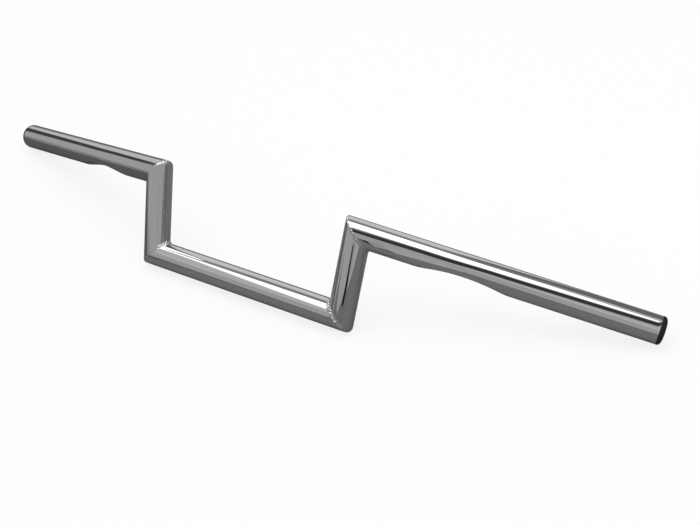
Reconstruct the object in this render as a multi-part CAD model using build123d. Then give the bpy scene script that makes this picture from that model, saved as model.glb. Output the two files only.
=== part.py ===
from build123d import *
import math
import os

# Z-bar handlebar: a welded steel tube bar for a motorcycle, in millimetres and degrees.
# X runs across the bike, +Y points back to the rider and +Z up. The origin is the middle of the
# centre tube's axis, where the clamps hold it. The bar lies as it rests on a bench: on its centre
# tube and on the rims of its two end plugs, so its risers lean back.

# The tube
tube_diameter = 25.4
tube_wall = 2.0
tube_end_chamfer = 0.5

# The bends, measured between the corners of the tube's axis
centre_length = 220.0
riser_length = 81.0
riser_splay = 4.0
arm_length = 275.0
back_sweep = 19.0
down_sweep = 7.0

# The flat that is pressed into the underside of each arm
flat_start = 62.0
flat_length = 77.5
flat_depth = 3.9
flat_turn = 18.0
flat_edge_radius = 5.0
flat_side_bulge = 0.3
flat_run_out = 8.0

# The weld bead round each mitred corner
bead_past_wall = 1.2
bead_sides = 8
bead_stand_proud = 0.3
bead_root_height = 0.4
bead_into_inner_corner = 0.2

# The end plugs
plug_head_thickness = 3.0
plug_head_inset = 0.2
plug_head_chamfer = 1.2
plug_stem_length = 20.0
plug_stem_wall = 1.6
plug_rib_count = 4
plug_rib_height = 0.9
plug_rib_width = 1.4
plug_rib_clearance = 0.1

# Values worked out from the sizes above
tube_radius = tube_diameter / 2
bore_radius = tube_radius - tube_wall
bead_radius = tube_wall + bead_past_wall
head_radius = tube_radius - plug_head_inset


def upright_arm_direction():
    """Direction of the right arm while the risers stand upright."""
    level = math.cos(math.radians(down_sweep))
    return Vector(
        level * math.cos(math.radians(back_sweep)),
        level * math.sin(math.radians(back_sweep)),
        -math.sin(math.radians(down_sweep)),
    )


def upright_riser_direction():
    """Direction of the right riser, upwards, while the risers stand upright."""
    return Vector(math.sin(math.radians(riser_splay)), 0, math.cos(math.radians(riser_splay)))


def resting_lean():
    """Angle that the risers lean back when the bar rests on its centre tube and its two end plugs.

    Each plug touches the bench on the rim of its head, where the chamfer begins.
    """
    direction = upright_arm_direction()
    reach = arm_length + plug_head_thickness - plug_head_chamfer
    rim_centre = riser_length * upright_riser_direction() + reach * direction
    distance = math.hypot(rim_centre.Y, rim_centre.Z)
    bearing = math.atan2(rim_centre.Z, rim_centre.Y)
    lean = bearing
    for _ in range(20):
        drop = direction.Y * math.sin(lean) - direction.Z * math.cos(lean)
        height = head_radius * math.sqrt(1 - drop**2) - tube_radius
        lean = bearing - math.asin(height / distance)
    return math.degrees(lean)


# Corners and directions of the right side, leaned back to rest. The left side mirrors them.
lean_back = resting_lean()
centre_direction = Vector(1, 0, 0)
riser_direction = upright_riser_direction().rotate(Axis.X, -lean_back)
arm_direction = upright_arm_direction().rotate(Axis.X, -lean_back)
lower_corner = Vector(centre_length / 2, 0, 0)
upper_corner = lower_corner + riser_length * riser_direction
arm_end = upper_corner + arm_length * arm_direction


def mirrored(vector):
    """The same vector on the left side."""
    return Vector(-vector.X, vector.Y, vector.Z)


def mitre_plane(corner, direction_in, direction_out):
    """Plane that halves a corner. Its x axis points to the outside of the bend."""
    return Plane(
        origin=corner,
        x_dir=direction_in - direction_out,
        z_dir=direction_in + direction_out,
    )


def mitre_overrun(plane, direction):
    """How far a bar has to run past its corner for the mitre to cut all of its section."""
    turn = math.radians(plane.z_dir.get_angle(direction))
    return tube_radius * math.tan(turn) + tube_wall


def rod(start, end, radius):
    """Round bar between two points on its axis."""
    base = Plane(origin=start, z_dir=end - start)
    return base * Cylinder(
        radius,
        (end - start).length,
        align=(Align.CENTER, Align.CENTER, Align.MIN),
    )


lower_mitre = mitre_plane(lower_corner, centre_direction, riser_direction)
upper_mitre = mitre_plane(upper_corner, riser_direction, arm_direction)
left_lower_mitre = mitre_plane(
    mirrored(lower_corner),
    mirrored(centre_direction),
    mirrored(riser_direction),
)


def centre_bar(radius):
    """Solid bar along the centre tube, mitred at both ends."""
    overrun = mitre_overrun(lower_mitre, centre_direction) * centre_direction
    bar = rod(mirrored(lower_corner) - overrun, lower_corner + overrun, radius)
    bar = split(bar, bisect_by=lower_mitre, keep=Keep.BOTTOM)
    return split(bar, bisect_by=left_lower_mitre, keep=Keep.BOTTOM)


def riser_bar(radius):
    """Solid bar along the right riser, mitred at both ends."""
    lower_overrun = mitre_overrun(lower_mitre, riser_direction) * riser_direction
    upper_overrun = mitre_overrun(upper_mitre, riser_direction) * riser_direction
    bar = rod(lower_corner - lower_overrun, upper_corner + upper_overrun, radius)
    bar = split(bar, bisect_by=lower_mitre, keep=Keep.TOP)
    return split(bar, bisect_by=upper_mitre, keep=Keep.BOTTOM)


def flat_facing():
    """Direction that the pressed flat of the right arm faces, square to the arm."""
    down = Vector(0, 0, -1).rotate(Axis.X, -flat_turn - lean_back)
    return (down - down.dot(arm_direction) * arm_direction).normalized()


def arm_bar(radius):
    """Solid bar along the right arm, mitred at its corner and square at its end.

    Its sides bulge a little where the flat is pressed. The seam of its skin is opposite the flat.
    """
    overrun = mitre_overrun(upper_mitre, arm_direction)
    bulge_start = flat_start - flat_run_out
    bulge_end = flat_start + flat_length + flat_run_out
    near_side = Polyline((radius, bulge_start), (radius, -overrun), (0, -overrun), (0, arm_length))
    far_side = Polyline((0, arm_length), (radius, arm_length), (radius, bulge_end))
    bulge = ThreePointArc(
        (radius, bulge_end),
        (radius + flat_side_bulge, (bulge_start + bulge_end) / 2),
        (radius, bulge_start),
    )
    bar = revolve(Plane.XZ * make_face(near_side + far_side + bulge), Axis.Z)
    bar = Plane(origin=upper_corner, x_dir=-flat_facing(), z_dir=arm_direction) * bar
    return split(bar, bisect_by=upper_mitre, keep=Keep.TOP)


def press_tool(depth_below_skin):
    """Roller that presses the flat, or the same flat deeper down, on the bore's side."""
    half_length = flat_length / 2
    tool_radius = (half_length**2 + flat_depth**2) / (2 * flat_depth)
    facing = flat_facing()
    middle = upper_corner + (flat_start + half_length) * arm_direction
    centre = middle + (tube_radius - flat_depth + tool_radius) * facing
    roller = Cylinder(tool_radius + depth_below_skin, 2 * tube_diameter)
    return Plane(origin=centre, x_dir=facing, z_dir=arm_direction.cross(facing)) * roller


def weld_bead(plane, direction):
    """Full bead round a mitred corner, before its bore is opened.

    Its centre line is two half ellipses. The outer one lies just under the tubes' skin, and the
    inner one swings out to fill the inner corner.
    """
    turn = math.radians(plane.z_dir.get_angle(direction))
    half_short = tube_radius - bead_radius + bead_stand_proud
    outer_reach = half_short / math.cos(turn)
    inner_reach = tube_radius / math.cos(turn) + bead_into_inner_corner
    outer_half = EllipticalCenterArc((0, 0), outer_reach, half_short, -90, arc_size=180)
    inner_half = EllipticalCenterArc((0, 0), inner_reach, half_short, 90, arc_size=180)
    path = plane * Wire([outer_half.edge(), inner_half.edge()])
    start = Plane(origin=path @ 0, x_dir=plane.z_dir, z_dir=path % 0)
    flat_on_top = 180 / bead_sides
    section = start * RegularPolygon(bead_radius, bead_sides, major_radius=False, rotation=flat_on_top)
    return sweep(section, path=path)


def opened_weld(bead, bar_in, bar_out):
    """Bead with the bent bore of the two tubes taken out, down to its root."""
    radius = bore_radius - bead_root_height
    return bead - bar_in(radius) - bar_out(radius)


def largest_solid(shape):
    """The piece without the loose sharp rim that the bead cuts off a mitre and grinding takes away."""
    return max(shape.solids(), key=lambda solid: solid.volume)


def centre_tube(bead):
    """Straight tube that the clamps hold."""
    tube = centre_bar(tube_radius) - centre_bar(bore_radius)
    return largest_solid(tube - bead - mirror(bead, about=Plane.YZ))


def riser_tube(lower_bead, upper_bead):
    """Short tube from the lower corner to the upper one."""
    tube = riser_bar(tube_radius) - riser_bar(bore_radius)
    return largest_solid(tube - lower_bead - upper_bead)


def arm_tube(bead):
    """Long tube that carries the grip, with a flat pressed into its underside."""
    bar = arm_bar(tube_radius)
    tool = press_tool(0)
    outside = bar - tool
    outside = fillet(new_edges(bar, tool, combined=outside), flat_edge_radius)
    inside = arm_bar(bore_radius) - press_tool(tube_wall)
    tube = outside - inside
    end_plane = Plane(origin=arm_end, z_dir=arm_direction)
    end_face = tube.faces().sort_by(lambda face: end_plane.to_local_coords(face.center()).Z)[-1]
    tube = chamfer(end_face.edges(), tube_end_chamfer)
    return largest_solid(tube - bead)


def end_plug():
    """Plug in the right arm's end: a rounded head on the tube's end and a hollow, ribbed stem."""
    upwards = (Align.CENTER, Align.CENTER, Align.MIN)
    head = Cylinder(head_radius, plug_head_thickness, align=upwards)
    head = chamfer(head.edges().sort_by(Axis.Z)[-1], plug_head_chamfer)
    rib_radius = bore_radius - plug_rib_clearance
    stem_radius = rib_radius - plug_rib_height
    stem_base = Pos(0, 0, -plug_stem_length)
    plug = head + stem_base * Cylinder(stem_radius, plug_stem_length, align=upwards)
    rib_pitch = plug_stem_length / (plug_rib_count + 1)
    for rib in range(plug_rib_count):
        rib_place = Pos(0, 0, -(rib + 1) * rib_pitch)
        plug += rib_place * Cone(stem_radius, rib_radius, plug_rib_width)
    plug -= stem_base * Cylinder(stem_radius - plug_stem_wall, plug_stem_length, align=upwards)
    return Plane(origin=arm_end, z_dir=arm_direction) * plug


def handlebar():
    """Every piece of the bar by its name. The left pieces mirror the right ones."""
    lower_bead = weld_bead(lower_mitre, riser_direction)
    upper_bead = weld_bead(upper_mitre, arm_direction)
    right_side = {
        "riser_tube": riser_tube(lower_bead, upper_bead),
        "arm_tube": arm_tube(upper_bead),
        "lower_weld": opened_weld(lower_bead, centre_bar, riser_bar),
        "upper_weld": opened_weld(upper_bead, riser_bar, arm_bar),
        "end_plug": end_plug(),
    }
    pieces = {"centre_tube": centre_tube(lower_bead)}
    for name, shape in right_side.items():
        pieces[sided("right", name)] = shape
        pieces[sided("left", name)] = mirror(shape, about=Plane.YZ)
    return pieces


def sided(side, name):
    """Node name of a piece on one side, such as lower_right_weld or right_arm_tube."""
    if name.endswith("weld"):
        level = name.split("_")[0]
        return f"{level}_{side}_weld"
    return f"{side}_{name}"


os.makedirs("parts", exist_ok=True)
for node, shape in handlebar().items():
    export_step(shape, f"parts/{node}.step")
print(f"risers lean back {lean_back:.2f} degrees at rest")
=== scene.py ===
import math

import bpy
from mathutils import Matrix, Vector


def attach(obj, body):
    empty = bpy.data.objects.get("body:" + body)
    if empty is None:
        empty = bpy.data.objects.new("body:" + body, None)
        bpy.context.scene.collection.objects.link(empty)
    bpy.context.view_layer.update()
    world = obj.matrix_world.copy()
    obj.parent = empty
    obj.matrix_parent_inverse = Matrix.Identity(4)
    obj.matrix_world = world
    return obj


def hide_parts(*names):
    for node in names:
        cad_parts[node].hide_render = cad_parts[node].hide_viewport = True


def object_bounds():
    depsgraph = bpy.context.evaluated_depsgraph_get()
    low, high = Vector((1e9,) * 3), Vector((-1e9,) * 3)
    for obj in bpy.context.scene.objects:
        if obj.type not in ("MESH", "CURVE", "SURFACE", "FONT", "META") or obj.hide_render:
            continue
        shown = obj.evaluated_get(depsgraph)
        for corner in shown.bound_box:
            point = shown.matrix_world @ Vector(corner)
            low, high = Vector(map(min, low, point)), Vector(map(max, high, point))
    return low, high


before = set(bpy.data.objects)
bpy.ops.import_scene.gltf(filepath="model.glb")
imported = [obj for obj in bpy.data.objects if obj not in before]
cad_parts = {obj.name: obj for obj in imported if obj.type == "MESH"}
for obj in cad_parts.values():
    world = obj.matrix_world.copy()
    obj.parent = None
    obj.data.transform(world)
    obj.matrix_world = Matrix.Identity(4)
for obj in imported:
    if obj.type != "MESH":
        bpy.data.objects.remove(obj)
cad_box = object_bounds()

# A chromed z-bar handlebar. Lengths are in millimetres until a mesh is placed, and MM turns them
# to metres. X runs across the bike, +Y back to the rider and +Z up.
MM = 0.001

# The tube and its axis, as the CAD model has them
tube_radius = 12.7
tube_wall = 2.0
half_centre_length = 110.0
riser_length = 81.0
arm_length = 275.0
lean_back = math.radians(28.11145)
riser_splay = math.radians(4.0)
back_sweep = math.radians(19.0)
down_sweep = math.radians(7.0)

# The end of each arm, and how far from a corner a tube's rows are slid towards its mitre
rim_round = 0.5
mitre_reach = 38.0

# The flat pressed into the underside of each arm. It rises with a power of the way from its
# middle, and the left one with a higher power in its outer half, which ends more steeply.
flat_start = 62.0
flat_length = 77.5
flat_depth = 3.9
flat_softness = 1.6
flat_bulge = 0.3
flat_turn = math.radians(18.0)
flat_power = 2.0
flat_end_power = {"right": flat_power, "left": 4.0}

# The weld of each corner. Legs and heights are given at the outside of the bend, at its sides and
# inside. Ripples and lumps are shares of the height. A ripple's middle runs ahead of its ends by
# ripple_bow, in radians, and weld_fullness is how full the rounding between the tubes is.
welds = {
    "lower_right": {"legs": (3.2, 3.6, 3.4), "heights": (0.06, 0.46, 0.50), "ripple": 0.3,
                    "lump": 2.6, "lump_size": 1.6, "seed": 3.0},
    "upper_right": {"legs": (2.4, 1.9, 3.2), "heights": (0.20, 0.34, 0.06), "ripple": 0.3,
                    "lump": 2.2, "lump_size": 1.3, "seed": 8.0},
    "lower_left": {"legs": (3.2, 1.5, 3.4), "heights": (0.02, 0.12, 0.40), "ripple": 0.3,
                   "lump": 2.0, "lump_size": 1.5, "seed": 5.0},
    "upper_left": {"legs": (4.2, 2.6, 5.6), "heights": (0.16, 0.02, 0.02), "ripple": 0.2,
                   "lump": 1.6, "lump_size": 1.5, "seed": 1.0},
}
ripples_round_weld = 46.0
ripple_bow = 1.2
weld_fullness = 0.25

# The plug in each arm's end
plug_sizes = {"Head Radius": 12.8, "Head Height": 5.0, "Head Squareness": 0.64,
              "Stem Radius": 9.7, "Stem Length": 20.0, "Stem Wall": 1.6,
              "Rib Count": 4, "Rib Height": 0.9, "Rib Width": 1.4}

# How finely the pieces are divided
around_tube = 144
along_step = 2.5
rim_rows = 6
across_weld = 33
around_weld = 721
head_rings = 48
around_stem = 96
seam_gap = 0.001
sharp_angle = math.radians(35)

# The grey of the chrome's own reflectance, and where most values of a noise lie
chrome_grey = "CECECE"
noise_middle = (0.3, 0.7)

# Node kinds in short
MATH = "ShaderNodeMath"
VECTOR = "ShaderNodeVectorMath"
XYZ = "ShaderNodeCombineXYZ"
SPLIT = "ShaderNodeSeparateXYZ"
RANGE = "ShaderNodeMapRange"
NOISE = "ShaderNodeTexNoise"


def leaned(vector):
    """A direction of the upright bar, leaned back as the bar rests."""
    return Matrix.Rotation(-lean_back, 3, "X") @ Vector(vector)


def mirrored(vector):
    """The same vector on the left side."""
    return Vector((-vector.x, vector.y, vector.z))


# Directions and corners of the right side. The left side mirrors them.
across = Vector((1, 0, 0))
up = Vector((0, 0, 1))
riser_direction = leaned((math.sin(riser_splay), 0, math.cos(riser_splay)))
arm_direction = leaned((
    math.cos(down_sweep) * math.cos(back_sweep),
    math.cos(down_sweep) * math.sin(back_sweep),
    -math.sin(down_sweep),
))
flat_down = leaned((0, -math.sin(flat_turn), -math.cos(flat_turn)))
flat_facing = (flat_down - flat_down.dot(arm_direction) * arm_direction).normalized()
lower_corner = Vector((half_centre_length, 0, 0))
upper_corner = lower_corner + riser_length * riser_direction


def add(tree, kind, *values, named=None, **settings):
    """Adds a node with its settings. Values and named inputs are numbers, sockets or nodes."""
    made = tree.nodes.new(kind)
    for key, value in settings.items():
        setattr(made, key, value)
    for key, value in [*enumerate(values), *(named or {}).items()]:
        if isinstance(value, bpy.types.Node):
            value = value.outputs[0]
        if isinstance(value, bpy.types.NodeSocket):
            tree.links.new(value, made.inputs[key])
        elif value is not None:
            made.inputs[key].default_value = value
    return made


def linear(hex_colour):
    """Linear RGBA of an sRGB hex colour."""
    channels = [int(hex_colour[i:i + 2], 16) / 255 for i in (0, 2, 4)]
    return [c / 12.92 if c <= 0.04045 else ((c + 0.055) / 1.055) ** 2.4 for c in channels] + [1.0]


def empty_material(name):
    """A material and its node tree, which is empty."""
    material = bpy.data.materials.new(name)
    material.use_nodes = True
    material.node_tree.nodes.clear()
    return material, material.node_tree


def new_finish(name, hex_colour, **plain_inputs):
    """A finish of the bar: its material, node tree, principled shader and object coordinates."""
    material, tree = empty_material(name)
    shader = add(tree, "ShaderNodeBsdfPrincipled", named={
        "Base Color": linear(hex_colour), **plain_inputs})
    add(tree, "ShaderNodeOutputMaterial", shader)
    place = add(tree, "ShaderNodeTexCoord").outputs["Object"]
    return material, tree, shader, place


def vary_roughness(tree, shader, place, patch_size, detail, least, most):
    """Lets the roughness vary in patches of a size in millimetres, and gives their noise."""
    noise = add(tree, NOISE, named={
        "Vector": place, "Scale": 1 / (patch_size * MM), "Detail": detail})
    roughness = add(tree, RANGE, noise, *noise_middle, least, most)
    tree.links.new(roughness.outputs[0], shader.inputs["Roughness"])
    return noise


def chrome(name, hex_colour, patch_size, least, most):
    """Bright chrome plating on steel: a neutral mirror with a haze that varies in soft patches."""
    material, tree, shader, place = new_finish(name, hex_colour, Metallic=1.0)
    vary_roughness(tree, shader, place, patch_size, 3.0, least, most)
    return material


def moulded_polyethylene():
    """Injection moulded black polyethylene: a soft satin with a faint grain."""
    material, tree, shader, place = new_finish(
        "moulded_black_polyethylene", "1B1B1D", **{"IOR": 1.51, "Specular IOR Level": 0.2})
    grain = vary_roughness(tree, shader, place, 0.5, 2.0, 0.42, 0.56)
    bump = add(tree, "ShaderNodeBump", named={
        "Strength": 0.15, "Distance": 0.05 * MM, "Height": grain})
    tree.links.new(bump.outputs[0], shader.inputs["Normal"])
    return material


# Over polished tube the plating is a very even mirror. Over a ground weld, small hollows stay in
# the steel and blur it a little.
tube_chrome = chrome("bright_chrome_on_polished_tube", chrome_grey, 25, 0.015, 0.04)
weld_chrome = chrome("bright_chrome_on_ground_weld", "C9C9C9", 4, 0.04, 0.12)
plug_plastic = moulded_polyethylene()


def new_tree(name, **sizes):
    """A geometry tree that makes its own mesh, with a named input for each size of each kind."""
    tree = bpy.data.node_groups.new(name, "GeometryNodeTree")
    tree.is_modifier = True
    tree.interface.new_socket("Mesh", in_out="OUTPUT", socket_type="NodeSocketGeometry")
    for kind, names in sizes.items():
        for size in names:
            tree.interface.new_socket(size, in_out="INPUT", socket_type=f"NodeSocket{kind}")
    given = add(tree, "NodeGroupInput").outputs
    return tree, given


def end_tree(tree, mesh, material):
    """Ends a tree with its instances made real, its seams closed and its material set."""
    real = add(tree, "GeometryNodeRealizeInstances", mesh)
    closed = add(tree, "GeometryNodeMergeByDistance", real, named={"Distance": seam_gap})
    painted = add(tree, "GeometryNodeSetMaterial", closed, named={"Material": material})
    add(tree, "NodeGroupOutput", painted)


def grown(name, tree, sizes, place, wall=0.0):
    """Runs a tree with its sizes, gives the mesh its wall and sets it in place, in metres."""
    piece = bpy.data.objects.new(name, bpy.data.meshes.new(name))
    bpy.context.scene.collection.objects.link(piece)
    grow = piece.modifiers.new("grow", "NODES")
    grow.node_group = tree
    for socket in tree.interface.items_tree:
        if socket.in_out == "INPUT":
            grow[socket.identifier] = sizes[socket.name]
    if wall:
        solid = piece.modifiers.new("wall", "SOLIDIFY")
        solid.thickness = wall
        solid.offset = -1
    settled = piece.evaluated_get(bpy.context.evaluated_depsgraph_get())
    mesh = bpy.data.meshes.new_from_object(settled)
    piece.modifiers.clear()
    piece.data = mesh
    mesh.transform(Matrix.Scale(MM, 4) @ place)
    mesh.shade_smooth()
    mesh.set_sharp_from_angle(angle=sharp_angle)
    mesh.name = name
    return piece


def spread_group():
    """A value round a bend from its three sizes: at the outside, at the sides and inside."""
    tree = bpy.data.node_groups.new("spread_round_bend", "GeometryNodeTree")
    for name, kind in (("Cosine", "Float"), ("Sizes", "Vector")):
        tree.interface.new_socket(name, in_out="INPUT", socket_type=f"NodeSocket{kind}")
    tree.interface.new_socket("Value", in_out="OUTPUT", socket_type="NodeSocketFloat")
    given = add(tree, "NodeGroupInput").outputs
    outer, side, inner = add(tree, SPLIT, given["Sizes"]).outputs
    value = side
    for size, sign in ((outer, 1.0), (inner, -1.0)):
        share = add(tree, MATH, given["Cosine"], sign, operation="MULTIPLY")
        share = add(tree, MATH, share, 0.0, operation="MAXIMUM")
        share = add(tree, MATH, share, share, operation="MULTIPLY")
        change = add(tree, MATH, size, side, operation="SUBTRACT")
        value = add(tree, MATH, share, change, value, operation="MULTIPLY_ADD")
    add(tree, "NodeGroupOutput", value)
    return tree


spread = spread_group()


def tube_tree(name, open_end):
    """Skin of a straight tube along Z from 0 to Length, slid to the slope of each mitre.

    With open_end it is an arm: its far end is square with a rounded rim, and a flat is pressed
    into its +X side.
    """
    mitres = ("Start",) if open_end else ("Start", "End")
    arm_inputs = ("Rim Round", "Rim Band", "Flat Start", "Flat Length", "Flat Depth",
                  "Flat Softness", "Flat Bulge", "Flat End Power")
    tree, given = new_tree(
        name,
        Int=("Rows",),
        Float=("Length", "Radius", "Mitre Reach", *(arm_inputs if open_end else ())),
        Vector=[f"{end} {what}" for end in mitres for what in ("Slope", "Outside", "Legs")])
    skin = add(tree, "GeometryNodeMeshCylinder", fill_type="NONE", named={
        "Vertices": around_tube, "Side Segments": given["Rows"], "Radius": given["Radius"],
        "Depth": given["Length"]})
    half = add(tree, MATH, given["Length"], 0.5, operation="MULTIPLY")
    lift = add(tree, XYZ, 0.0, 0.0, half)
    skin = add(tree, "GeometryNodeTransform", skin, named={"Translation": lift})
    point = add(tree, "GeometryNodeInputPosition")
    x, y, z = add(tree, SPLIT, point).outputs

    # Slides the rows near a corner to the mitre, less the leg that the weld takes
    to_end = add(tree, MATH, given["Length"], z, operation="SUBTRACT")
    from_corner = {"Start": z, "End": to_end}
    slide = 0.0
    for end in mitres:
        slope = add(tree, VECTOR, point, given[f"{end} Slope"], operation="DOT_PRODUCT")
        lean = add(tree, VECTOR, point, given[f"{end} Outside"], operation="DOT_PRODUCT")
        lean = add(tree, MATH, lean.outputs["Value"], given["Radius"], operation="DIVIDE")
        leg = add(tree, "GeometryNodeGroup", node_tree=spread, named={
            "Cosine": lean, "Sizes": given[f"{end} Legs"]})
        sign = "ADD" if end == "Start" else "SUBTRACT"
        slope = add(tree, MATH, slope.outputs["Value"], leg, operation=sign)
        nearness = add(tree, RANGE, from_corner[end], 0.0, given["Mitre Reach"], 1.0, 0.0)
        slide = add(tree, MATH, slope, nearness, slide, operation="MULTIPLY_ADD")
    if not open_end:
        moved = add(tree, XYZ, 0.0, 0.0, slide)
        skin = add(tree, "GeometryNodeSetPosition", skin, named={"Offset": moved})
        end_tree(tree, skin, tube_chrome)
        return tree

    # Turns the last rows over the rounded rim
    rim = add(tree, RANGE, to_end, given["Rim Band"], 0.0, 0.0, math.pi / 2)
    sine = add(tree, MATH, rim, operation="SINE")
    cosine = add(tree, MATH, rim, operation="COSINE")
    shrink = add(tree, MATH, 1.0, cosine, operation="SUBTRACT")
    shrink = add(tree, MATH, shrink, given["Rim Round"], operation="MULTIPLY")
    straight = add(tree, MATH, given["Length"], given["Rim Band"], operation="SUBTRACT")
    longer = add(tree, MATH, given["Rim Band"], given["Rim Round"], operation="SUBTRACT")
    stretch = add(tree, MATH, z, straight, operation="DIVIDE")
    stretch = add(tree, MATH, stretch, 1.0, operation="MINIMUM")
    stretch = add(tree, MATH, stretch, longer, operation="MULTIPLY")
    before_rim = add(tree, MATH, z, straight, operation="MINIMUM")
    rim_z = add(tree, MATH, before_rim, stretch, operation="ADD")
    rim_z = add(tree, MATH, sine, given["Rim Round"], rim_z, operation="MULTIPLY_ADD")
    new_z = add(tree, MATH, rim_z, slide, operation="ADD")
    fraction = add(tree, MATH, shrink, given["Radius"], operation="DIVIDE")
    fraction = add(tree, MATH, 1.0, fraction, operation="SUBTRACT")
    new_x = add(tree, MATH, x, fraction, operation="MULTIPLY")
    new_y = add(tree, MATH, y, fraction, operation="MULTIPLY")

    # Presses the flat. It is a shallow bow, and a smooth minimum leaves its edges soft
    half_flat = add(tree, MATH, given["Flat Length"], 0.5, operation="MULTIPLY")
    middle = add(tree, MATH, given["Flat Start"], half_flat, operation="ADD")
    off_middle = add(tree, MATH, new_z, middle, operation="SUBTRACT")
    along_flat = add(tree, MATH, off_middle, half_flat, operation="DIVIDE")
    outer_half = add(tree, MATH, along_flat, 0.0, operation="GREATER_THAN")
    along_flat = add(tree, MATH, along_flat, operation="ABSOLUTE")
    steeper = add(tree, MATH, given["Flat End Power"], flat_power, operation="SUBTRACT")
    power = add(tree, MATH, outer_half, steeper, flat_power, operation="MULTIPLY_ADD")
    rise = add(tree, MATH, along_flat, power, operation="POWER")
    floor = add(tree, MATH, given["Radius"], given["Flat Depth"], operation="SUBTRACT")
    floor = add(tree, MATH, rise, given["Flat Depth"], floor, operation="MULTIPLY_ADD")
    pressed_x = add(tree, MATH, new_x, floor, given["Flat Softness"], operation="SMOOTH_MIN")

    # The sides bulge a little beside the flat
    bulge = add(tree, RANGE, along_flat, 0.0, 1.0, 1.0, 0.0, interpolation_type="SMOOTHSTEP")
    bulge = add(tree, MATH, bulge, given["Flat Bulge"], operation="MULTIPLY")
    bulge = add(tree, MATH, bulge, given["Radius"], operation="DIVIDE")
    new_y = add(tree, MATH, new_y, bulge, new_y, operation="MULTIPLY_ADD")
    shaped = add(tree, XYZ, pressed_x, new_y, new_z)
    skin = add(tree, "GeometryNodeSetPosition", skin, named={"Position": shaped})
    end_tree(tree, skin, tube_chrome)
    return tree


def weld_tree():
    """Cap of a mitred corner: it leaves both tubes' skins smoothly and carries the bead.

    The mitre is the XY plane, +X is the outside of the bend, and the tubes come in and go out
    along In and Out.
    """
    tree, given = new_tree(
        "weld_cap",
        Int=("Across", "Around"),
        Float=("Radius", "Cosine", "Ripple Height", "Ripple Count", "Lump Height", "Lump Size",
               "Seed"),
        Vector=("In", "Out", "Legs", "Bead Heights"))
    sheet = add(tree, "GeometryNodeMeshGrid", 1.0, 1.0, given["Around"], given["Across"])
    x, y, _ = add(tree, SPLIT, add(tree, "GeometryNodeInputPosition")).outputs
    turn = add(tree, MATH, x, 2 * math.pi, operation="MULTIPLY")
    cosine = add(tree, MATH, turn, operation="COSINE")
    sine = add(tree, MATH, turn, operation="SINE")
    forth = add(tree, MATH, y, 0.5, operation="ADD")
    back = add(tree, MATH, 1.0, forth, operation="SUBTRACT")

    # The mitre's ellipse
    reach = add(tree, MATH, given["Radius"], given["Cosine"], operation="DIVIDE")
    edge_x = add(tree, MATH, cosine, reach, operation="MULTIPLY")
    edge_y = add(tree, MATH, sine, given["Radius"], operation="MULTIPLY")
    place = add(tree, XYZ, edge_x, edge_y, 0.0)

    # The rounding between the two skins, a cubic curve from one leg's end to the other's
    leg = add(tree, "GeometryNodeGroup", node_tree=spread, named={
        "Cosine": cosine, "Sizes": given["Legs"]})
    for way, near, away, sign in (("Out", forth, back, "ADD"), ("In", back, forth, "SUBTRACT")):
        weight = add(tree, MATH, away, weld_fullness, 1.0, operation="MULTIPLY_ADD")
        for factor in (near, near, leg):
            weight = add(tree, MATH, weight, factor, operation="MULTIPLY")
        part = add(tree, VECTOR, given[way], named={"Scale": weight}, operation="SCALE")
        place = add(tree, VECTOR, place, part, operation=sign)

    # The bead's own height: a low crown, which is 1 in its middle, with its ripples and the lumps
    # that grinding left
    crown = add(tree, MATH, forth, back, operation="MULTIPLY")
    crown = add(tree, MATH, crown, crown, operation="MULTIPLY")
    crown = add(tree, MATH, crown, 16.0, operation="MULTIPLY")
    bow = add(tree, MATH, crown, ripple_bow, operation="MULTIPLY")
    ripple = add(tree, MATH, turn, given["Ripple Count"], bow, operation="MULTIPLY_ADD")
    ripple = add(tree, MATH, ripple, operation="SINE")
    height = add(tree, MATH, ripple, given["Ripple Height"], 1.0, operation="MULTIPLY_ADD")
    fineness = add(tree, MATH, 1.0, given["Lump Size"], operation="DIVIDE")
    lumps = add(tree, NOISE, noise_dimensions="4D", named={
        "Vector": place, "W": given["Seed"], "Scale": fineness, "Detail": 2.0})
    lumps = add(tree, RANGE, lumps, 0.25, 0.75, -1.0, 1.0, clamp=False)
    height = add(tree, MATH, lumps, given["Lump Height"], height, operation="MULTIPLY_ADD")
    bead = add(tree, "GeometryNodeGroup", node_tree=spread, named={
        "Cosine": cosine, "Sizes": given["Bead Heights"]})
    height = add(tree, MATH, height, bead, operation="MULTIPLY")
    height = add(tree, MATH, height, crown, operation="MULTIPLY")
    out_x = add(tree, MATH, cosine, given["Cosine"], operation="MULTIPLY")
    outwards = add(tree, VECTOR, add(tree, XYZ, out_x, sine, 0.0), operation="NORMALIZE")
    raised = add(tree, VECTOR, outwards, named={"Scale": height}, operation="SCALE")
    place = add(tree, VECTOR, place, raised, operation="ADD")
    sheet = add(tree, "GeometryNodeSetPosition", sheet, named={"Position": place})
    end_tree(tree, sheet, weld_chrome)
    return tree


def carried_round(tree, path, corners):
    """A closed ring: four corners, each out from the path and below it, carried along the path."""
    section = add(tree, "GeometryNodeCurvePrimitiveQuadrilateral", mode="POINTS", named={
        f"Point {number}": add(tree, XYZ, out, below)
        for number, (out, below) in enumerate(corners, start=1)})
    return add(tree, "GeometryNodeCurveToMesh", path, section)


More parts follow.
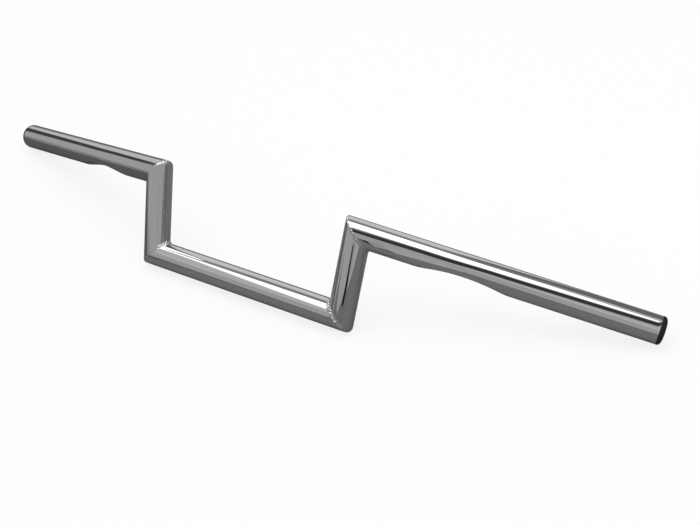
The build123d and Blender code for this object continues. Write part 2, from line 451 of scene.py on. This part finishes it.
def plug_tree():
    """Round head with a hollow stem below it, which carries barbed ribs."""
    tree, given = new_tree(
        "ribbed_plug",
        Int=("Rib Count",),
        Float=("Head Radius", "Head Height", "Head Squareness", "Stem Radius", "Stem Length",
               "Stem Wall", "Rib Height", "Rib Width"))
    x, y, z = add(tree, SPLIT, add(tree, "GeometryNodeInputPosition")).outputs

    # The head is a ball that a power of its height and width squares up. The least width keeps
    # the poles out of a division by zero
    ball = add(tree, "GeometryNodeMeshUVSphere", around_tube, head_rings, 1.0)
    width = add(tree, VECTOR, add(tree, XYZ, x, y, 0.0), operation="LENGTH").outputs["Value"]
    width = add(tree, MATH, width, 1e-6, operation="MAXIMUM")
    power = add(tree, MATH, given["Head Squareness"], 1.0, operation="SUBTRACT")
    squared = add(tree, MATH, width, power, operation="POWER")
    squared = add(tree, MATH, squared, given["Head Radius"], operation="MULTIPLY")
    above = add(tree, MATH, z, 0.0, operation="MAXIMUM")
    high = add(tree, MATH, above, given["Head Squareness"], operation="POWER")
    high = add(tree, MATH, high, given["Head Height"], operation="MULTIPLY")
    head_x = add(tree, MATH, x, squared, operation="MULTIPLY")
    head_y = add(tree, MATH, y, squared, operation="MULTIPLY")
    head = add(tree, "GeometryNodeSetPosition", ball, named={
        "Position": add(tree, XYZ, head_x, head_y, high)})

    # The stem and its barbed ribs are four-cornered sections carried round a circle. The stem is
    # sunk into the head, and each rib's root into the stem
    path = add(tree, "GeometryNodeCurvePrimitiveCircle", named={
        "Resolution": around_stem, "Radius": given["Stem Radius"]})
    inwards = add(tree, MATH, given["Stem Wall"], -1.0, operation="MULTIPLY")
    foot = given["Stem Length"]
    sunk = add(tree, MATH, given["Head Height"], -0.25, operation="MULTIPLY")
    stem = carried_round(tree, path, ((0.0, foot), (inwards, foot), (inwards, sunk), (0.0, sunk)))
    rib_foot = add(tree, MATH, given["Rib Width"], 0.5, operation="MULTIPLY")
    rib_top = add(tree, MATH, given["Rib Width"], -0.5, operation="MULTIPLY")
    rooted = add(tree, MATH, inwards, 0.5, operation="MULTIPLY")
    rib = carried_round(tree, path, (
        (0.0, rib_foot), (rooted, rib_foot), (rooted, rib_top), (given["Rib Height"], rib_top)))
    pitch = add(tree, MATH, given["Rib Count"], 1.0, operation="ADD")
    pitch = add(tree, MATH, foot, pitch, operation="DIVIDE")
    pitch = add(tree, MATH, pitch, -1.0, operation="MULTIPLY")
    first = add(tree, XYZ, 0.0, 0.0, pitch)
    spots = add(tree, "GeometryNodeMeshLine", mode="OFFSET", named={
        "Count": given["Rib Count"], "Start Location": first, "Offset": first})
    ribs = add(tree, "GeometryNodeInstanceOnPoints", spots, named={"Instance": rib})
    plug = add(tree, "GeometryNodeJoinGeometry")
    for part in (head, stem, ribs):
        tree.links.new(part.outputs[0], plug.inputs[0])
    end_tree(tree, plug, plug_plastic)
    return tree


plain_tube = tube_tree("mitred_tube", open_end=False)
arm_tube = tube_tree("arm_tube", open_end=True)
weld_cap = weld_tree()
ribbed_plug = plug_tree()


def axes(origin, z_axis, x_hint):
    """Matrix of a place whose Z is z_axis and whose X leans to x_hint."""
    z_axis = z_axis.normalized()
    x_axis = (x_hint - x_hint.dot(z_axis) * z_axis).normalized()
    y_axis = z_axis.cross(x_axis)
    return Matrix.Translation(origin) @ Matrix((x_axis, y_axis, z_axis)).transposed().to_4x4()


class Corner:
    """A mitred corner: its point, the tubes' directions and its weld."""

    def __init__(self, name, point, way_in, way_out):
        self.node = f"{name}_weld"
        self.weld = welds[name]
        self.point = point
        self.way_in = way_in.normalized()
        self.way_out = way_out.normalized()
        self.normal = (self.way_in + self.way_out).normalized()
        self.outside = (self.way_in - self.way_out).normalized()

    def cut(self, place, end):
        """The sizes of this mitre in a tube's own axes, for the tube's Start or its End."""
        turned = place.to_3x3().transposed()
        normal = turned @ self.normal
        outside = turned @ self.outside
        outside.z = 0
        slope = Vector((-normal.x / normal.z, -normal.y / normal.z, 0))
        return {f"{end} Slope": slope, f"{end} Outside": outside.normalized(),
                f"{end} Legs": Vector(self.weld["legs"])}


def stand_in(piece, node):
    """Lets a finished piece stand for its CAD node."""
    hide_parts(node)
    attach(piece, "root")


def make_tube(node, start_corner, end_corner):
    """A tube between two corners, cut to the weld at each."""
    length = (end_corner.point - start_corner.point).length
    place = axes(start_corner.point, end_corner.point - start_corner.point, up)
    sizes = {"Length": length, "Radius": tube_radius, "Rows": round(length / along_step),
             "Mitre Reach": mitre_reach, **start_corner.cut(place, "Start"),
             **end_corner.cut(place, "End")}
    piece = grown(f"{node}_skin", plain_tube, sizes, place, wall=tube_wall)
    stand_in(piece, node)


def make_arm(node, corner, end, facing, end_power):
    """An arm from its corner to its open end, with the flat on the side that faces so."""
    length = (end - corner.point).length
    place = axes(corner.point, end - corner.point, facing)
    rows = round(length / along_step)
    sizes = {"Length": length, "Radius": tube_radius, "Rows": rows, "Mitre Reach": mitre_reach,
             "Rim Round": rim_round, "Rim Band": rim_rows * length / rows,
             "Flat Start": flat_start, "Flat Length": flat_length, "Flat Depth": flat_depth,
             "Flat Softness": flat_softness, "Flat Bulge": flat_bulge,
             "Flat End Power": end_power, **corner.cut(place, "Start")}
    piece = grown(f"{node}_skin", arm_tube, sizes, place, wall=tube_wall)
    stand_in(piece, node)


def make_weld(corner):
    """The weld of a corner."""
    place = axes(corner.point, corner.normal, corner.outside)
    turned = place.to_3x3().transposed()
    weld = corner.weld
    sizes = {"Radius": tube_radius, "Cosine": corner.normal.dot(corner.way_in),
             "In": turned @ corner.way_in, "Out": turned @ corner.way_out,
             "Across": across_weld, "Around": around_weld,
             "Legs": Vector(weld["legs"]), "Bead Heights": Vector(weld["heights"]),
             "Ripple Height": weld["ripple"], "Ripple Count": ripples_round_weld,
             "Lump Height": weld["lump"], "Lump Size": weld["lump_size"], "Seed": weld["seed"]}
    piece = grown(f"{corner.node}_bead", weld_cap, sizes, place, wall=tube_wall)
    stand_in(piece, corner.node)


def make_plug(node, end, direction):
    """The plug in an arm's open end."""
    piece = grown(f"{node}_moulding", ribbed_plug, plug_sizes, axes(end, direction, up))
    stand_in(piece, node)


sides = {"right": Vector, "left": mirrored}
corners = {}
for side, to_side in sides.items():
    riser, arm = to_side(riser_direction), to_side(arm_direction)
    for name, point, way_in, way_out in (("lower", lower_corner, to_side(across), riser),
                                         ("upper", upper_corner, riser, arm)):
        corners[name, side] = Corner(f"{name}_{side}", to_side(point), way_in, way_out)

make_tube("centre_tube", corners["lower", "left"], corners["lower", "right"])
for side, to_side in sides.items():
    lower, upper = corners["lower", side], corners["upper", side]
    direction = to_side(arm_direction)
    end = upper.point + arm_length * direction
    make_tube(f"{side}_riser_tube", lower, upper)
    make_arm(f"{side}_arm_tube", upper, end, to_side(flat_facing), flat_end_power[side])
    make_weld(lower)
    make_weld(upper)
    make_plug(f"{side}_end_plug", end, direction)

# The camera, where the photograph was taken from
camera_place = Vector((740.404, -710.307, 860.578)) * MM
camera_right = Vector((0.8260, 0.544306, -0.146447))
camera_down = Vector((0.2657, -0.605116, -0.750512))
camera_ahead = camera_right.cross(camera_down).normalized()
camera_data = bpy.data.cameras.new("camera")
camera_data.sensor_width = 36.0
camera_data.lens = 72.683
camera_data.clip_start = 0.01
camera_data.clip_end = 100.0
camera = bpy.data.objects.new("camera", camera_data)
camera_axes = Matrix((camera_right, -camera_down, -camera_ahead)).transposed()
camera.matrix_world = Matrix.Translation(camera_place) @ camera_axes.to_4x4()
bpy.context.scene.collection.objects.link(camera)
bpy.context.scene.camera = camera

# The studio. The floor and the air are white to the camera and in reflections. Round the bar stand
# the grey walls, the tables, the softbox and the black flags that chrome is photographed between.
# They are seen only in the chrome, and a card further in hides the ones behind it. The walls, the
# ceiling, the softbox and the flags are glowing cards that light nothing: painted reflections. The
# tables are dark matt sheets that paint a darker reflection of the floor under the bar.
floor_height = cad_box[0][2] / MM
floor_reach = 30000
white_share = 0.82
air_light = 0.75
far = 1500
wall_middle = 700
half_wall = (0, 0, 760)
box_strength = 1.9


def seen_or_reflected(tree):
    """One for camera, glossy and transmission rays, and zero for the light's own rays."""
    path = add(tree, "ShaderNodeLightPath").outputs
    seen = add(tree, MATH, path["Is Camera Ray"], path["Is Glossy Ray"], operation="MAXIMUM")
    return add(tree, MATH, seen, path["Is Transmission Ray"], operation="MAXIMUM")


def floor_paper():
    """White studio paper: a matt sheet that keeps the bar's soft shadow."""
    material, tree = empty_material("white_studio_paper")
    paper = add(tree, "ShaderNodeBsdfDiffuse", linear("F7F7F7"))
    glow = add(tree, "ShaderNodeEmission", linear("FFFFFF"), 1.0)
    share = add(tree, MATH, seen_or_reflected(tree), white_share, operation="MULTIPLY")
    mixed = add(tree, "ShaderNodeMixShader", share, paper, glow)
    add(tree, "ShaderNodeOutputMaterial", mixed)
    return material


def reflection_glow_material(name, hex_colour, strength, half_sizes, feather):
    """A glowing card of the studio, its edges feathered over some millimetres. It is a painted
    reflection: only the chrome shows it, and it lights nothing.
    """
    material, tree = empty_material(name)
    place = add(tree, "ShaderNodeTexCoord").outputs["Object"]
    solid = 1.0
    for coordinate, half in zip(add(tree, SPLIT, place).outputs, half_sizes):
        off = add(tree, MATH, coordinate, operation="ABSOLUTE")
        inside = add(tree, RANGE, off, 1 - 2 * feather / half, 1.0, 1.0, 0.0,
                     interpolation_type="SMOOTHSTEP")
        solid = add(tree, MATH, solid, inside, operation="MULTIPLY")
    # The card's glow is a painted reflection. A reflection dims the card by the chrome's own
    #     reflectance, so its glow makes up for that
    painted_reflection_glow = add(tree, "ShaderNodeEmission", linear(hex_colour), strength / linear(chrome_grey)[1])
    mixed = add(tree, "ShaderNodeMixShader", solid, add(tree, "ShaderNodeBsdfTransparent"), painted_reflection_glow)
    add(tree, "ShaderNodeOutputMaterial", mixed)
    return material


def stage_sheet(name, centre, half_a, half_b, material):
    """A flat rectangle of the studio: its centre and its two half sides, in millimetres."""
    mesh = bpy.data.meshes.new(name)
    mesh.from_pydata([(-1, -1, 0), (1, -1, 0), (1, 1, 0), (-1, 1, 0)], [], [(0, 1, 2, 3)])
    mesh.materials.append(material)
    sheet = bpy.data.objects.new(name, mesh)
    a, b = Vector(half_a), Vector(half_b)
    turned = Matrix((a, b, a.cross(b).normalized())).transposed().to_4x4()
    sheet.matrix_world = Matrix.Scale(MM, 4) @ Matrix.Translation(centre) @ turned
    bpy.context.scene.collection.objects.link(sheet)
    return sheet


def show_in_chrome_alone(sheet):
    """Leaves a sheet to be seen in the chrome alone."""
    sheet.visible_camera = False
    sheet.visible_diffuse = False
    sheet.visible_shadow = False
    sheet.visible_transmission = False


def card(name, grey, centre, half_a, half_b, feather=8.0, strength=1.0):
    """A studio card of an sRGB grey from 0 to 255, which glows as a painted reflection in the
    chrome.
    """
    half_sizes = Vector(half_a).length, Vector(half_b).length
    paper = reflection_glow_material(name, f"{grey:02X}" * 3, strength, half_sizes, feather)
    show_in_chrome_alone(stage_sheet(name, centre, half_a, half_b, paper))


def table(name, lightness, centre, half_width):
    """A matt grey table top, seen only in the chrome, where it paints a darker reflection of the
    floor under the bar. The bar shades it where it touches.
    """
    material, tree = empty_material(name)
    cloth = add(tree, "ShaderNodeBsdfDiffuse", (lightness, lightness, lightness, 1))
    add(tree, "ShaderNodeOutputMaterial", cloth)
    show_in_chrome_alone(stage_sheet(name, centre, (half_width, 0, 0), (0, far, 0), material))


stage_sheet("paper_floor", (0, 0, floor_height), (floor_reach, 0, 0), (0, floor_reach, 0),
            floor_paper())

# The walls and the ceiling of the room, as glowing cards that paint the chrome's reflections
card("wall_front", 148, (0, -far, wall_middle), (far, 0, 0), half_wall)
card("wall_front_low", 101, (0, -far + 5, 94), (far, 0, 0), (0, 0, 114))
card("wall_back_left", 188, (-775, far, wall_middle), (725, 0, 0), half_wall)
card("wall_back_right", 96, (725, far, wall_middle), (775, 0, 0), half_wall)
card("wall_left", 150, (-far, 0, wall_middle), (0, far, 0), half_wall)
card("wall_left_back", 175, (-far + 5, 1060, wall_middle), (0, 440, 0), half_wall)
card("wall_right", 146, (far, 0, wall_middle), (0, far, 0), half_wall)
card("ceiling", 167, (0, 0, far), (far, 0, 0), (0, far, 0))
card("ceiling_band", 118, (-493, 1069, 1480), (928, -15, 0), (9, 574, 0), feather=72)

# Glowing cards that paint the long highlights in the chrome, and the flags that paint the dark
# bands beside them
card("softbox", 255, (-37, 97, 1450), (1052, 357, 0), (-202, 595, 0), feather=162,
     strength=box_strength)
card("strip_light", 255, (-1322, 68, 1440), (656, 427, 0), (-46, 70, 0), feather=34,
     strength=box_strength)
card("black_flag_over", 46, (691, -369, 1400), (379, -127, 0), (566, 1692, 0), feather=138)
card("black_flag_left", 58, (-far + 10, 448, 255), (0, 250, 0), (0, 0, 329), feather=60)

# The small glowing boards before the right riser, seen only in the chrome. The black one paints
# the riser's dark reflected line, the pale one paints the pale reflected wedge beside that, and
# the low one hides the black one from the arm
card("black_board", 10, (141.6, -60, 51), (9.4, 2.2, 0), (-2, 14, 30), feather=1.2)
card("low_board", 138, (145, -30.5, 66), (10, -2.6, 0), (0, 0, 21), feather=1.2)
card("grey_board", 95, (150, -330, 130), (8, 5, 0), (-7, 12, 44), feather=3)
card("pale_board", 152, (186, -52, 71), (26, 18, 26), (0, 0, 30), feather=2)

# The tables lie on each other, just over the floor
table("table_far", 0.30, (0, 0, -12.95), far)
table("table_near", 0.22, (510, 0, -12.9), 990)
table("table_left", 0.13, (-330, 0, -12.85), 170)

world = bpy.data.worlds.new("studio_air")
bpy.context.scene.world = world
world.use_nodes = True
air = world.node_tree
air.nodes.clear()
level = add(air, RANGE, seen_or_reflected(air), 0.0, 1.0, air_light, 1.0)
add(air, "ShaderNodeOutputWorld", add(air, "ShaderNodeBackground", (1, 1, 1, 1), level))

lamp_data = bpy.data.lights.new("overhead_softbox", "AREA")
lamp_data.shape = "RECTANGLE"
lamp_data.size = 2.1
lamp_data.size_y = 0.9
lamp_data.energy = 9.0
lamp = bpy.data.objects.new("overhead_softbox", lamp_data)
lamp.location = Vector((61, 166, 1440)) * MM
lamp.rotation_euler = (0, 0, math.radians(15.4))
lamp.visible_glossy = False
bpy.context.scene.collection.objects.link(lamp)

bpy.context.scene.view_settings.view_transform = "Standard"
